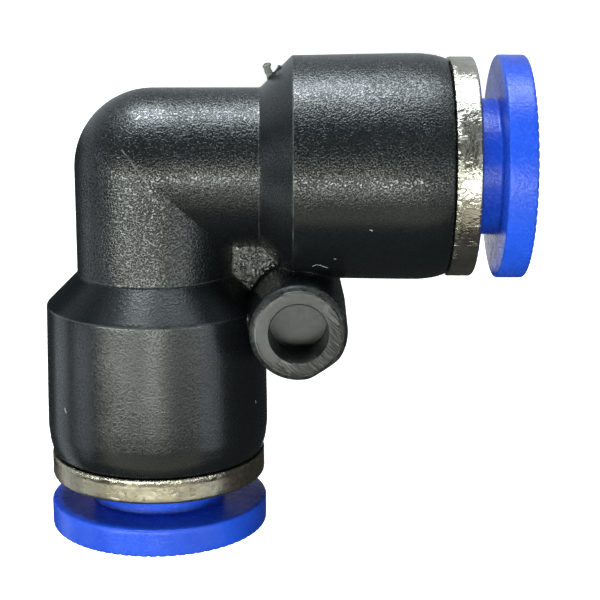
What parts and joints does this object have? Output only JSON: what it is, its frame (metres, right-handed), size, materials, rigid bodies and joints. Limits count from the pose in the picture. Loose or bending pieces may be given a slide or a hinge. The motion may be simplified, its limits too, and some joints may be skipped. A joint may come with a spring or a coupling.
{
  "type": "push to connect fitting",
  "caption": "Right-angle push-to-connect union elbow for pneumatic tube, with sliding release sleeves, plated end rings and a blind-holed mounting boss in the corner.",
  "frame": {"origin": "centre of the mounting hole in the back face of the boss, the face that sits against a panel", "axes": "+Z along the mounting holes, out of the front face; +X along port A, out of its mouth; -Y along port B, out of its mouth. The fitting lies on its side at Z = 0."},
  "size_m": [0.0277, 0.0278, 0.0129],
  "materials": {
    "black_pbt": "spark-eroded satin moulding",
    "nickel_plate": "nickel plated, satin",
    "blue_pom": "satin moulding",
    "spring_steel": "bright rolled",
    "white_pom": "smooth moulding",
    "black_nbr": "matt"
  },
  "bodies": {
    "fitting": {"body": "black_pbt", "end_ring_a": "nickel_plate", "grab_ring_a": "spring_steel", "seal_seat_a": "white_pom", "tube_seal_a": "black_nbr", "end_ring_b": "nickel_plate", "grab_ring_b": "spring_steel", "seal_seat_b": "white_pom", "tube_seal_b": "black_nbr"},
    "sleeve_a": {"release_sleeve_a": "blue_pom"},
    "sleeve_b": {"release_sleeve_b": "blue_pom"}
  },
  "joints": [
    {"name": "sleeve_a_press", "type": "slide", "parent": "fitting", "child": "sleeve_a", "axis": [-1, 0, 0], "range_m": [-0.00015, 0.0013], "stiffness_N_per_m": 1000, "deforming": ["grab_ring_a"]},
    {"name": "sleeve_b_press", "type": "slide", "parent": "fitting", "child": "sleeve_b", "axis": [0, 1, 0], "range_m": [0, 0.00146], "stiffness_N_per_m": 1000, "deforming": ["grab_ring_b"]}
  ]
}
